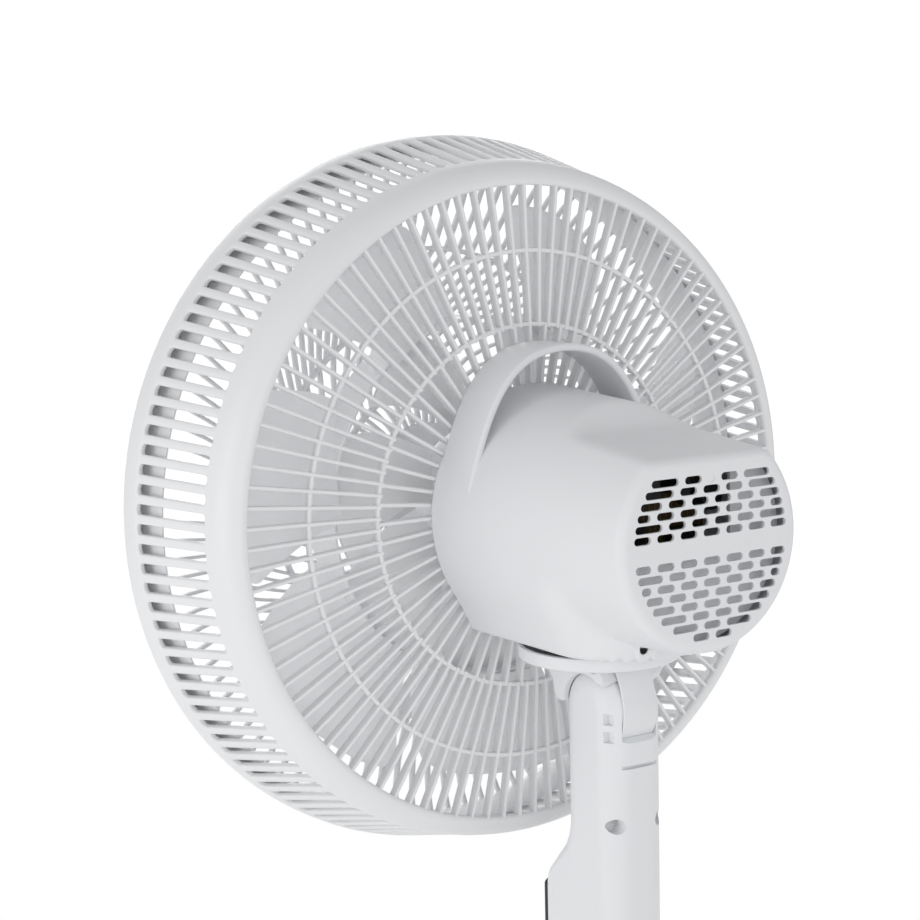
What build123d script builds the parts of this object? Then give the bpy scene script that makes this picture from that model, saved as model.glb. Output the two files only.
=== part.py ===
"""Pedestal fan of the 40 cm class, as an assembly of separate pieces, in millimetres.

Frame: origin on the floor under the pole's axis, +Z up, the fan blows towards -Y.
The head's own frame has its origin on the fan's axis at the crest of the rear guard:
local x = X, local y = up, local z = forward (-Y).
"""
from build123d import *
from math import asin, atan2, cos, degrees, hypot, pi, radians, sin
import os

# ---------------------------------------------------------------- driving dimensions
AXIS_Z = 1050.0            # height of the fan's axis above the floor
CREST_Y = -76.0            # plane of the rear guard's crest
FIT = 0.05                 # radial clearance of a running fit
GAP = 0.3                  # clearance between pieces that pass each other

BASE_R = 200.0
OUTER_POLE_R = 16.0
INNER_POLE_R = 11.0
POLE_WALL = 1.5
OUTER_POLE_TOP = 545.0
COLLAR_TOP = 560.0
COLLAR_H = 62.0
KNOB_Z = COLLAR_TOP - 30.0

NECK_W = 45.0              # across X
NECK_D = 50.0              # along Y
NECK_WALL = 2.5
NECK_BOTTOM = AXIS_Z - 360.0
INLET_R = 3.5              # hole where the power lead comes in
FLARE_TOP = AXIS_Z - 175.0
FLARE_BOTTOM = AXIS_Z - 206.0
PANEL_Y = -41.0            # front of the control housing
SCREW_X = 12.5             # the shells' screws
HIGH_SCREW_Z = AXIS_Z - 163
LOW_SCREW_Z = AXIS_Z - 250
SEAM_Y_LOW = -22.0         # seam of the shells beside the control panel

PIVOT_Z = AXIS_Z - 104.0   # tilt axis, over the pole's axis
KNUCKLE_R = 24.0
CHEEK_IN = 12.6            # neck cheeks, from here
CHEEK_OUT = 17.0           # to here
SKIRT_OUT = 22.5           # outside of the tilt arm's skirts

PLATE_TOP = -75.0          # arm's tray, heights from the fan's axis
PLATE_H = 3.0
TRAY_RIM = -70.4
COVER_BOTTOM = -69.0
SWING_F = -64.0            # swing axis, forward of the crest (local z)
TRAY_R = 46.0              # arm's round tray, about the swing axis
CRANK_D = 27.0             # swing axis to crank centre
LINK_E = 12.0              # swing axis to the link's fixed pin, sideways
CRANK_R = 7.3              # crank centre to crank pin: swings the head 40 degrees each way
CRANK_ANGLE = 9.4          # of the crank pin at mid-swing

CREST_R = 190.0
BAND_R = 201.4             # rear ends of the side slots
SLOT_R = 215.2             # front ends of the side slots
RIM_R = 217.4
BAND_F = 21.3
SLOT_F = 72.4
RIM_F = 91.7
GUARD_WALL = 2.6
RING_RADII = (106.0, 148.5)
OUTER_RIBS = 102
INNER_RIBS = 60
SIDE_SLOTS = 120
SLOT_MID_R = 208.0
RIB_W = 2.0
RIB_DEPTH = 6.0
FRONT_F = 119.0            # front of the front guard
BLADES = 7
BLADE_TIP_R = 176.0

MOTOR_R = 46.0
SHAFT_R = 4.0
COVER_R = 72.0
COVER_REAR_R = 57.8
COVER_REAR_F = -161.0
COVER_WALL = 2.5
BOSS_X = 50.0              # cover screws, from the axis
BOSS_UP = -37.0
ROOF_F = -62.0             # where the roof starts to slope
ROOF_REAR = 44.5           # height of the flat top edge of the rear face
ARCH_R = 61.0
ARCH_UP = 35.0
ARCH_FRONT = -4.0
ARCH_REAR = -37.0

HEAD = Location(Plane(origin=(0, CREST_Y, AXIS_Z), x_dir=(1, 0, 0), z_dir=(0, -1, 0)))
PIVOT = Location((0, 0, PIVOT_Z))


# ---------------------------------------------------------------- helpers
def lathe(*points):
    """Solid of revolution about local Z from (radius, z) points."""
    return revolve(Plane.XZ * make_face(Polyline(*points, close=True)), Axis.Z, 360)


def drum(radius, low, high, x=0.0, y=0.0):
    """Cylinder along Z from low to high."""
    return Pos(x, y, (low + high) / 2) * Cylinder(radius, high - low)


def ring(outer, inner, low, high, x=0.0, y=0.0):
    """Tube along Z from low to high."""
    return drum(outer, low, high, x, y) - drum(inner, low - 1, high + 1, x, y)


def block(x0, x1, y0, y1, z0, z1):
    """Box between two corners."""
    size = (x1 - x0, y1 - y0, z1 - z0)
    return Pos((x0 + x1) / 2, (y0 + y1) / 2, (z0 + z1) / 2) * Box(*size)


def x_drum(radius, x0, x1, y=0.0, z=0.0):
    """Cylinder along X from x0 to x1."""
    return Pos((x0 + x1) / 2, y, z) * Rot(0, 90, 0) * Cylinder(radius, abs(x1 - x0))


def y_drum(radius, y0, y1, x=0.0, z=0.0):
    """Cylinder along Y from y0 to y1."""
    return Pos(x, (y0 + y1) / 2, z) * Rot(90, 0, 0) * Cylinder(radius, abs(y1 - y0))


def side_plate(points, x0, x1):
    """Plate whose outline is (y, z) points, from x0 to x1."""
    face = Plane.YZ * make_face(Polyline(*points, close=True))
    return Pos(x0, 0, 0) * extrude(face, x1 - x0)


def join(solids):
    """One solid from touching or overlapping ones."""
    first, *rest = list(solids)
    return first.fuse(*rest)


def polar(radius, angle):
    """Point in the local XY plane, angle in degrees."""
    return (radius * cos(radians(angle)), radius * sin(radians(angle)))


def rib_gaps(count, inner, outer, width, slant_in=0.0, slant_out=0.0):
    """Wires of the openings between radial ribs of constant width."""
    pitch = 360.0 / count
    wires = []
    for k in range(count):
        start = 90.0 + k * pitch
        near = degrees(asin(width / 2 / inner))
        far = degrees(asin(width / 2 / outer))
        corners = [polar(inner, start + slant_in + near), polar(outer, start + slant_out + far),
                   polar(outer, start + slant_out + pitch - far),
                   polar(inner, start + slant_in + pitch - near)]
        wires.append(Wire.make_polygon([Vector(*c) for c in corners], close=True))
    return wires


def perforated_disc(radius, wires, low, high):
    """Disc with the given openings, from low to high along local Z."""
    face = Face(Wire.make_circle(radius), wires)
    return Pos(0, 0, low) * extrude(face, high - low, dir=(0, 0, 1))


PARTS = {}


def node(name, shape, where=None):
    """Register a piece under its node name."""
    PARTS[name] = where * shape if where is not None else shape


# ---------------------------------------------------------------- base
def make_base():
    outer = [(20.4, 20), (20.4, 48), (26, 48), (34, 34), (80, 26), (150, 20), (188, 14), (BASE_R, 5)]
    inner = [(BASE_R, 1.5), (197, 1.5), (196, 5), (186, 11), (150, 17), (80, 23), (34, 30), (23.5, 44),
             (23.5, 20)]
    node("base_cover", lathe(*outer, *inner))
    weight = drum(182, 4.5, 9.5) - drum(6, 4, 10)
    socket = lathe((OUTER_POLE_R + FIT, 9.5), (46, 9.5), (46, 14), (20, 18), (20, 75),
                   (OUTER_POLE_R + FIT, 75))
    feet, screws = [], []
    for k in range(5):
        feet.append(drum(11, 0, 4.5, *polar(168, 90 + 72 * k)))
    for k in range(4):
        place = polar(36, 45 + 90 * k)
        weight -= drum(3.1, 4, 10, *place)
        socket -= drum(3.0, 9, 13, *place)
        screws.append(drum(3.0, 4.5, 12.5, *place) + drum(6.0, 2.5, 4.5, *place))
    node("base_weight", weight)
    node("base_socket", socket)
    node("base_feet", Compound(feet))
    node("base_screws", Compound(screws))


# ---------------------------------------------------------------- pole and height clamp
def make_pole():
    hole = y_drum(4.4, 0, 30, z=KNOB_Z)
    tube = ring(OUTER_POLE_R, OUTER_POLE_R - POLE_WALL, 9.5, OUTER_POLE_TOP)
    node("outer_pole", tube - hole)
    liner = ring(OUTER_POLE_R - POLE_WALL, INNER_POLE_R + FIT, OUTER_POLE_TOP - 60, OUTER_POLE_TOP)
    liner += ring(OUTER_POLE_R, INNER_POLE_R + FIT, OUTER_POLE_TOP, OUTER_POLE_TOP + 3)
    node("pole_liner", liner - hole)
    bottom = COLLAR_TOP - COLLAR_H
    collar = lathe((OUTER_POLE_R + 0.02, bottom), (21, bottom), (24, bottom + 6), (24, COLLAR_TOP - 8),
                   (20, COLLAR_TOP), (INNER_POLE_R + 0.6, COLLAR_TOP),
                   (INNER_POLE_R + 0.6, OUTER_POLE_TOP + 3), (OUTER_POLE_R + 0.02, OUTER_POLE_TOP + 3))
    collar += y_drum(11, 18, 34, z=KNOB_Z) - drum(OUTER_POLE_R + 0.02, bottom, OUTER_POLE_TOP + 3)
    node("height_collar", collar - y_drum(4.0 + FIT, 10, 40, z=KNOB_Z))
    inner_top = NECK_BOTTOM + 70
    inner = ring(INNER_POLE_R, INNER_POLE_R - 1.2, 300, inner_top)
    node("inner_pole", inner - x_drum(2.6, -20, 20, z=NECK_BOTTOM + 40))
    plug = drum(INNER_POLE_R - 1.2, 300, 320) + drum(OUTER_POLE_R - POLE_WALL - 0.2, 292, 300)
    node("pole_plug", plug)
    stem = y_drum(4.0, INNER_POLE_R + 0.1, 46, z=KNOB_Z)
    node("knob_screw", stem)
    knob = y_drum(17, 34.4, 52, z=KNOB_Z)
    for k in range(5):
        x, z = polar(18, 90 + 72 * k)
        knob += y_drum(6.5, 34.4, 52, x, KNOB_Z + z)
    node("height_knob", knob - y_drum(4.0, 30, 46, z=KNOB_Z))


# ---------------------------------------------------------------- neck and control housing
def neck_section(inset):
    """Rounded section of the neck, inset from its outside."""
    return RectangleRounded(NECK_W - 2 * inset, NECK_D - 2 * inset, 17 - inset)


def neck_solid(inset):
    """Neck with the flare of the control housing, below the tilt joint."""
    top = PIVOT_Z - 19 - inset
    straight = Pos(0, 0, NECK_BOTTOM) * extrude(neck_section(inset), top - NECK_BOTTOM)
    half = NECK_W / 2 - inset
    front = PANEL_Y + inset
    inner_front = -NECK_D / 2 + inset
    flare = side_plate([(front, NECK_BOTTOM), (front, FLARE_BOTTOM - inset), (inner_front, FLARE_TOP),
                        (-4, FLARE_TOP), (-4, NECK_BOTTOM)], -half, half)
    return straight + flare


def make_neck():
    hollow = neck_solid(NECK_WALL)
    floor = block(-30, 30, -60, 40, NECK_BOTTOM, NECK_BOTTOM + 3)
    shell = neck_solid(0) - (hollow - floor)
    cheek_zone = block(-CHEEK_OUT, CHEEK_OUT, -NECK_D / 2, NECK_D / 2, PIVOT_Z - 20, PIVOT_Z)
    cheek_zone &= Pos(0, 0, PIVOT_Z - 20) * extrude(neck_section(0), 20)
    top = cheek_zone + x_drum(KNUCKLE_R, -CHEEK_OUT, CHEEK_OUT, z=PIVOT_Z)
    top -= block(-CHEEK_IN, CHEEK_IN, -KNUCKLE_R + 2.0, 30, PIVOT_Z - 32, PIVOT_Z + 30)
    top -= block(-CHEEK_IN, CHEEK_IN, -30, 0, PIVOT_Z + 12, PIVOT_Z + 30)
    for side in (-1, 1):
        top -= x_drum(8.0, side * 14.0, side * 20.0, z=PIVOT_Z)
    top -= x_drum(4.0 + FIT, -30, 30, z=PIVOT_Z)
    throat = block(-CHEEK_IN, CHEEK_IN, -NECK_D / 2 + 3, NECK_D / 2 + 1, PIVOT_Z - 31, PIVOT_Z)
    shell = shell - throat + top
    socket = ring(INNER_POLE_R + 4, INNER_POLE_R + 0.02, NECK_BOTTOM, NECK_BOTTOM + 70)
    shell = shell - drum(INNER_POLE_R + 0.02, NECK_BOTTOM - 1, NECK_BOTTOM + 10) + socket
    shell -= x_drum(2.5, -20, 20, z=NECK_BOTTOM + 40)
    shell -= y_drum(INLET_R, 18, 40, z=NECK_BOTTOM + 12)
    front_side = side_plate([(-60, NECK_BOTTOM - 1), (-60, AXIS_Z), (0, AXIS_Z), (0, FLARE_TOP),
                             (SEAM_Y_LOW, FLARE_BOTTOM), (SEAM_Y_LOW, NECK_BOTTOM - 1)], -40, 40)
    front = shell & front_side
    rear = shell - front_side
    screws = []
    for z, seat in ((HIGH_SCREW_Z, 0.0), (LOW_SCREW_Z, SEAM_Y_LOW)):
        reach = seat - 9
        for x in (-SCREW_X, SCREW_X):
            boss = y_drum(5.0, reach - 9, seat, x, z) & neck_solid(0)
            front = front - y_drum(2.0, reach, seat + 1, x, z) + (boss - y_drum(1.95, reach, 1, x, z))
            tower = y_drum(7.0, seat, 26, x, z) & neck_solid(0)
            rear = rear + tower
            rear -= y_drum(5.6, 13, 30, x, z)
            rear -= y_drum(2.05, seat - 1, 14, x, z)
            screws.append(y_drum(1.95, reach, 13, x, z) + y_drum(4.2, 13, 16, x, z))
    for z in (-106, -116):
        rear -= block(CHEEK_OUT - 3, 30, 10, 16.5, AXIS_Z + z - 4, AXIS_Z + z + 3)
        rear -= block(-30, -CHEEK_OUT + 3, 10, 16.5, AXIS_Z + z - 4, AXIS_Z + z + 3)
    lens_low, lens_high = NECK_BOTTOM + 18, AXIS_Z - 213
    front -= block(-30, 30, -60, PANEL_Y + 2, lens_low, lens_high)
    front += block(-20, 20, PANEL_Y + 2, PANEL_Y + 3.5, lens_low - 1, lens_high + 1)
    node("neck_front_shell", front)
    node("neck_rear_shell", rear)
    node("neck_screws", Compound(screws))
    node("panel_lens", block(-22.4, 22.4, PANEL_Y - 1.5, PANEL_Y + 2, lens_low + 0.1, lens_high - 0.1))
    board = block(-17, 17, PANEL_Y + 7, PANEL_Y + 8.6, lens_low + 6, lens_high - 6)
    for x in (-SCREW_X, SCREW_X):
        board -= y_drum(5.3, -60, 0, x, LOW_SCREW_Z)
    node("control_board", board)
    pins = [x_drum(2.45, side * 9.0, side * 16.5, z=NECK_BOTTOM + 40) for side in (-1, 1)]
    node("pole_clamp_screws", Compound(pins))


# ---------------------------------------------------------------- tilt joint
def tray_outline(inset):
    """Plan of the arm's tray in local x and -f."""
    return Pos(0, SWING_F) * Circle(TRAY_R - inset)


def in_arm(shape):
    """From plan coordinates (x, f) with Z up from the fan's axis to the row's frame."""
    return Pos(0, CREST_Y, AXIS_Z) * mirror(shape, Plane.XZ)


def make_tilt():
    low = PLATE_TOP - PLATE_H
    tray = Pos(0, 0, low) * extrude(tray_outline(0), TRAY_RIM - low)
    tray -= Pos(0, 0, PLATE_TOP) * extrude(tray_outline(3), 20)
    arm = in_arm(tray)
    roof = AXIS_Z + low
    skirt = [(-26, roof), (24, roof), (17, PIVOT_Z), (12, PIVOT_Z - 12), (0, PIVOT_Z - 17),
             (-12, PIVOT_Z - 14), (-20, PIVOT_Z - 6)]
    for side in (-1, 1):
        x0, x1 = sorted((side * (CHEEK_OUT + GAP), side * SKIRT_OUT))
        arm += side_plate(skirt, x0, x1)
    gusset = side_plate([(-51, roof), (-49, PIVOT_Z + 21.7), (-43, PIVOT_Z + 17.6), (-33, PIVOT_Z + 16.5),
                         (-29, PIVOT_Z + 12), (-26.5, PIVOT_Z + 2.5), (-20.4, PIVOT_Z - 4), (-20, roof)],
                        -SKIRT_OUT, SKIRT_OUT)
    arm += gusset - x_drum(KNUCKLE_R + 3, -CHEEK_OUT - GAP, CHEEK_OUT + GAP, z=PIVOT_Z)
    lug = side_plate([(-13, roof), (3, roof), (9, PIVOT_Z), (-9, PIVOT_Z)], -9.4, 9.4)
    lug += x_drum(12, -9.4, 9.4, z=PIVOT_Z)
    arm = arm + lug - x_drum(4.0 + FIT, -12, 12, z=PIVOT_Z)
    swing_y = CREST_Y - SWING_F
    arm -= Pos(0, swing_y, 0) * drum(5.0, roof - 12, AXIS_Z + PLATE_TOP + 1)
    node("tilt_arm", arm)
    strip = ring(23.3, 21.8, -11.5, 11.5)
    strip = Rot(0, 90, 0) * strip
    keep = side_plate([(8, 40), (40, 40), (40, -40), (-8, -40), (0, 0)], -12, 12)
    strip = strip & keep
    strip += block(-11.5, 11.5, 8, 9.6, 20.4, roof - PIVOT_Z)
    node("tilt_strip", strip, PIVOT)
    bolt = x_drum(4.0, -16.6, 14.0) + x_drum(7.4, 14.0, 16.8)
    node("tilt_bolt", bolt, PIVOT)
    node("tilt_nut", x_drum(7.4, -16.6, -14.2) - x_drum(4.0, -20, 0), PIVOT)
    washers = []
    for side in (-1, 1):
        x0, x1 = sorted((side * 9.5, side * 12.5))
        washers.append(x_drum(11, x0, x1) - x_drum(4.0 + FIT, x0 - 1, x1 + 1))
    node("tilt_washers", Compound(washers), PIVOT)
    plate, waist = AXIS_Z + PLATE_TOP, AXIS_Z + PLATE_TOP + 3.5
    post = drum(5.0, roof - 12, plate) + drum(4.0, plate, waist) + drum(6.0, waist, AXIS_Z - 52)
    node("swing_post", post, Pos(0, swing_y, 0))
    node("link_pin", drum(1.5, plate, plate + 3.4, LINK_E, swing_y))
    crank_x, crank_y = polar(CRANK_R, CRANK_ANGLE)
    crank_y += swing_y + CRANK_D
    low = plate + 1.2
    length = hypot(crank_x - LINK_E, crank_y - swing_y)
    turn = degrees(atan2(crank_y - swing_y, crank_x - LINK_E))
    bar = Pos(length / 2, 0, low + 0.8) * Box(length, 4, 1.6)
    link = Pos(LINK_E, swing_y, 0) * Rot(0, 0, turn) * bar
    link += drum(3.2, low, low + 1.6, LINK_E, swing_y) + drum(4.5, low, low + 1.6, crank_x, crank_y)
    link -= drum(1.5 + FIT, low - 1, low + 3, LINK_E, swing_y)
    node("swing_link", link - drum(2.6, low - 1, low + 3, crank_x, crank_y))


# ---------------------------------------------------------------- swing drive and bracket
def make_swing():
    swing_y = CREST_Y - SWING_F
    crank_y = swing_y + CRANK_D
    disc_low = AXIS_Z - 69.9
    crank = drum(10.5, disc_low, disc_low + 3, 0, crank_y)
    pin_x, pin_y = polar(CRANK_R, CRANK_ANGLE)
    crank += drum(2.0, AXIS_Z - 71.6, disc_low, pin_x, crank_y + pin_y)
    node("swing_crank", crank - drum(2.5, disc_low, disc_low + 4, 0, crank_y))
    body = drum(14, AXIS_Z - 65, AXIS_Z - 50, 0, crank_y)
    axle = drum(2.5, disc_low + 0.1, AXIS_Z - 58.5, 0, crank_y)
    node("swing_motor", body - drum(2.5 + FIT, AXIS_Z - 66, AXIS_Z - 58, 0, crank_y))
    node("swing_axle", axle)
    bracket = block(-28, 28, swing_y - 22, swing_y + 12, AXIS_Z - 69.9, AXIS_Z - 44)
    bracket -= y_drum(MOTOR_R + 0.1, -120, 60, z=AXIS_Z)
    ear = block(-16, 16, swing_y + 11, crank_y + 15, AXIS_Z - 49.8, AXIS_Z - 47.3)
    bracket += ear - y_drum(MOTOR_R + 0.1, -120, 60, z=AXIS_Z)
    bracket -= drum(8.5, AXIS_Z - 71, AXIS_Z - 51, 0, swing_y)
    node("head_bracket", bracket)
    bush = ring(8.5, 6.0 + FIT, AXIS_Z - 70, AXIS_Z - 51, 0, swing_y)
    node("swing_bush", bush)


# ---------------------------------------------------------------- motor
def make_motor():
    front = lathe((11, 0.5), (22, 0.5), (22, 14), (11, 14))
    front += lathe((9, -12), (9, 0.5), (22, 0.5), (22, -3), (MOTOR_R, -3), (MOTOR_R, -42),
                   (MOTOR_R - 2, -42), (MOTOR_R - 2, -12))
    ears = block(-55, 55, -42, -32, -10, -6) - drum(MOTOR_R - 1, -12, 0)
    front += ears
    screws = []
    for side in (-1, 1):
        front -= drum(2.05, -12, 0, side * BOSS_X, BOSS_UP)
        screw = drum(2.0, -20, -6, side * BOSS_X, BOSS_UP) + drum(3.6, -6, -4, side * BOSS_X, BOSS_UP)
        screws.append(screw)
    node("motor_front_bell", front, HEAD)
    node("cover_screws", Compound(screws), HEAD)
    rear = lathe((9, -78), (9, -86), (13, -86), (13, -81), (MOTOR_R, -81), (MOTOR_R, -42),
                 (MOTOR_R - 2, -42), (MOTOR_R - 2, -78))
    node("motor_rear_bell", rear, HEAD)
    core_r = MOTOR_R - 2.0
    core = ring(core_r, 26, -64, -30)
    for k in range(12):
        core -= drum(3.4, -65, -29, *polar(33, 30 * k))
    node("stator_core", core, HEAD)
    coils = [lathe((29, z), (41, z), (42, z + 4), (40, z + 10), (30, z + 10)) for z in (-29.9, -74.1)]
    node("stator_windings", Compound(coils), HEAD)
    node("motor_rotor", ring(25.4, SHAFT_R, -65, -29), HEAD)
    bearings = [lathe((SHAFT_R + FIT, low), (outer, low), (outer, low + 7), (SHAFT_R + FIT, low + 7))
                for low, outer in ((1, 11), (-85.5, 9))]
    node("motor_bearings", Compound(bearings), HEAD)
    shaft = drum(SHAFT_R, -90, 78) - Pos(0, 0, 38) * Rot(0, 90, 0) * Cylinder(1.5, 20)
    node("motor_shaft", shaft, HEAD)
    board = block(-36, 36, -18, 40, -112, -110.4)
    board -= drum(4, -115, -105, 0, 4)
    node("motor_board", board, HEAD)
    posts = [ring(3, 1.2, -110.4, -81, x, y) for x, y in ((-24, 34), (24, 34), (-31, -10), (31, -10))]
    node("board_posts", Compound(posts), HEAD)
    bits = [drum(7, -136, -112, -22, 18), drum(5, -130, -112, -8, 24), block(4, 26, 16, 30, -124, -112),
            block(-28, -8, -12, 0, -122, -112), block(10, 30, -10, 6, -118, -112)]
    node("board_parts", Compound(bits), HEAD)


# ---------------------------------------------------------------- motor cover with its handle
def cover_body(inset):
    """Outside of the cover moved inwards by inset."""
    rear = COVER_REAR_F + inset
    body = lathe((0, -6 + inset), (COVER_R - inset, -6 + inset), (COVER_R - inset, -60),
                 (68 - inset, -110), (COVER_REAR_R + 4 - inset, -150), (COVER_REAR_R - inset, rear), (0, rear))
    low = COVER_BOTTOM - 2 * inset
    skirt = block(-46 + inset, 46 - inset, low, -20, -92, -6 + inset)
    skirt += y_drum(46 - inset, low, -20, 0, -92)
    body = body + skirt
    slope = (ROOF_REAR - COVER_R) / (COVER_REAR_F - ROOF_F)
    behind = COVER_REAR_F - 40
    cap = make_face(Polyline((COVER_R - inset, ROOF_F), (COVER_R - inset + slope * (behind - ROOF_F), behind),
                             (120, behind), (120, ROOF_F), close=True))
    return body - Pos(-80, 0, 0) * extrude(Plane.YZ * cap, 160)


def vent_slots():
    """Rounded slots of the rear face, in rows that follow its outline."""
    pitch, row, length, high = 16.4, 6.2, 12.0, 4.0
    region = Circle(COVER_REAR_R - 5.5) & (Pos(0, -20) * Rectangle(140, 2 * (ROOF_REAR - 6 + 20)))
    slots = []
    for k in range(-7, 7):
        level = (k + 1) * row + (10.0 if k >= 0 else -6.0)
        shift = 0.0 if k % 2 else pitch / 2
        for n in range(-4, 5):
            slots.append(Pos(n * pitch + shift, level) * Rectangle(length, high))
    sketch = Sketch() + slots
    return extrude(region & sketch, 12)


def make_cover():
    shell = cover_body(0) - cover_body(COVER_WALL)
    shell -= block(-46 + COVER_WALL, 46 - COVER_WALL, -90, -40, -96, 0)
    shell -= drum(COVER_R - COVER_WALL, -10, 2)
    arch = ring(ARCH_R, ARCH_R - 4.5, ARCH_REAR, ARCH_FRONT)
    arch = Pos(0, ARCH_UP, 0) * arch
    arch &= block(-80, 80, ARCH_UP - 4, 120, -60, 10)
    arch -= drum(COVER_R - 1, -60, 10)
    shell += arch
    shell -= Pos(0, 0, COVER_REAR_F - 4) * vent_slots()
    for side in (-1, 1):
        boss = drum(4.5, -24, -10, side * BOSS_X, BOSS_UP)
        x0, x1 = sorted((side * BOSS_X, side * 66))
        web = block(x0, x1, BOSS_UP - 2, BOSS_UP + 2, -24, -10)
        shell += (boss + web) & cover_body(1)
        shell -= drum(2.0, -20, -6, side * BOSS_X, BOSS_UP)
    node("motor_cover", shell, HEAD)


# ---------------------------------------------------------------- guards
def make_rear_guard():
    wall = lathe((CREST_R - 4, -RIB_DEPTH / 2), (CREST_R, -RIB_DEPTH / 2 + 1), (CREST_R + 6, 6),
                 (BAND_R, BAND_F), (SLOT_R, SLOT_F), (RIM_R, RIM_F - 4), (RIM_R, RIM_F),
                 (RIM_R - GUARD_WALL, RIM_F), (SLOT_R - GUARD_WALL, SLOT_F),
                 (BAND_R - GUARD_WALL, BAND_F), (CREST_R + 3, 7), (CREST_R - 4, RIB_DEPTH / 2))
    gap = 2 * pi * SLOT_MID_R / SIDE_SLOTS * 0.62
    cutters = []
    for k in range(SIDE_SLOTS):
        cutter = Pos(SLOT_MID_R, 0, (BAND_F + SLOT_F) / 2) * Box(30, gap, SLOT_F - BAND_F)
        cutters.append(Rot(0, 0, 90 + k * 360 / SIDE_SLOTS) * cutter)
    wall = wall.cut(*cutters)
    ring1, ring2 = RING_RADII
    holes = rib_gaps(INNER_RIBS, 48, ring1 - 1, RIB_W)
    holes += rib_gaps(OUTER_RIBS, ring1 + 1, ring2 - 1, RIB_W)
    holes += rib_gaps(OUTER_RIBS, ring2 + 1, CREST_R - 2.5, RIB_W)
    holes.append(Wire.make_circle(22 + FIT))
    grille = perforated_disc(CREST_R - 1, holes, -RIB_DEPTH / 2, RIB_DEPTH / 2)
    guard = wall.fuse(grille)
    guard -= Pos(0, -(RIM_R - 3), 88) * Rot(90, 0, 0) * Cylinder(2.0, 14)
    node("rear_guard", guard, HEAD)
    nut = ring(34, 22 + 0.01, 3, 13)
    for k in range(6):
        nut -= drum(3, 2, 14, *polar(36, 60 * k))
    node("guard_nut", nut, HEAD)


def make_front_guard():
    lip = RIM_R - GUARD_WALL - 0.1
    edge = lathe((lip - 1.2, RIM_F - 8), (lip, RIM_F), (RIM_R, RIM_F), (RIM_R, RIM_F + 6), (200, FRONT_F - 3),
                 (196, FRONT_F), (192, FRONT_F), (192, FRONT_F - 5), (RIM_R - 6, RIM_F + 4),
                 (lip - 2.6, RIM_F), (lip - 3.2, RIM_F - 8))
    holes = rib_gaps(60, 44, 104, 2.4, 0, 8) + rib_gaps(90, 106.4, 148, 2.2, 0, 5)
    holes += rib_gaps(90, 150.4, 190, 2.2, 5, 9)
    grille = perforated_disc(193, holes, FRONT_F - 4, FRONT_F)
    guard = edge.fuse(grille)
    guard -= drum(38, FRONT_F - 1.5, FRONT_F + 1)
    guard -= Pos(0, -(RIM_R - 3), 88) * Rot(90, 0, 0) * Cylinder(2.0, 14)
    node("front_guard", guard, HEAD)
    node("guard_badge", drum(37.8, FRONT_F - 1.5, FRONT_F + 0.8), HEAD)
    screw = Rot(90, 0, 0) * Cylinder(1.95, 8)
    screw = Pos(0, -(RIM_R - 4), 88) * screw
    screw += Pos(0, -(RIM_R + 1), 88) * Rot(90, 0, 0) * Cylinder(4.0, 2)
    node("guard_screw", screw, HEAD)


# ---------------------------------------------------------------- impeller
def blade_section(radius, chord, pitch, height):
    """Thin rectangle across a blade at the given radius."""
    plane = Plane(origin=(radius, 0, height), x_dir=(0, 1, 0), z_dir=(1, 0, 0))
    return plane * Rot(0, 0, pitch) * Rectangle(chord, 2.4)


def make_impeller():
    hub = lathe((SHAFT_R, 24), (12, 24), (12, 62), (36, 62), (38, 58), (38, 24), (41, 24), (41, 62),
                (37, 67), (SHAFT_R, 67))
    hub -= Pos(0, 0, 38) * Rot(0, 90, 0) * Cylinder(1.6, 24)
    blades = []
    for k in range(BLADES):
        blade = loft([blade_section(38.5, 42, 38, 45), blade_section(110, 84, 28, 47),
                      blade_section(BLADE_TIP_R, 104, 20, 49)])
        blades.append(Rot(0, 0, 360 / BLADES * k) * blade)
    impeller = hub.fuse(*blades) - drum(37.9, 24, 57)
    impeller += ring(12, SHAFT_R, 24, 62) - Pos(0, 0, 38) * Rot(0, 90, 0) * Cylinder(1.6, 24)
    node("fan_blade", impeller, HEAD)
    node("drive_pin", Pos(0, 0, 38) * Rot(0, 90, 0) * Cylinder(1.5, 20), HEAD)
    node("blade_nut", lathe((SHAFT_R, 67.1), (16, 67.1), (16, 76), (12, 84), (0, 84), (0, 78.2),
                            (SHAFT_R, 78.2)), HEAD)


make_base()
make_pole()
make_neck()
make_tilt()
make_swing()
make_motor()
make_cover()
make_rear_guard()
make_front_guard()
make_impeller()

os.makedirs("parts", exist_ok=True)
for name, shape in PARTS.items():
    export_step(shape, f"parts/{name}.step")
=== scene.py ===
"""Pedestal fan seen from behind: visible shells, grilles, blades and materials over the CAD frame.

Lengths are millimetres in the head's frame (x, back, up): the origin is on the fan's axis at
the crest of the rear guard, back is +Y and up is +Z. place() turns them into the row's metres.
"""

from math import cos, pi, radians, sin, tan

import bmesh
import bpy
import numpy as np
from mathutils import Matrix


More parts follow.
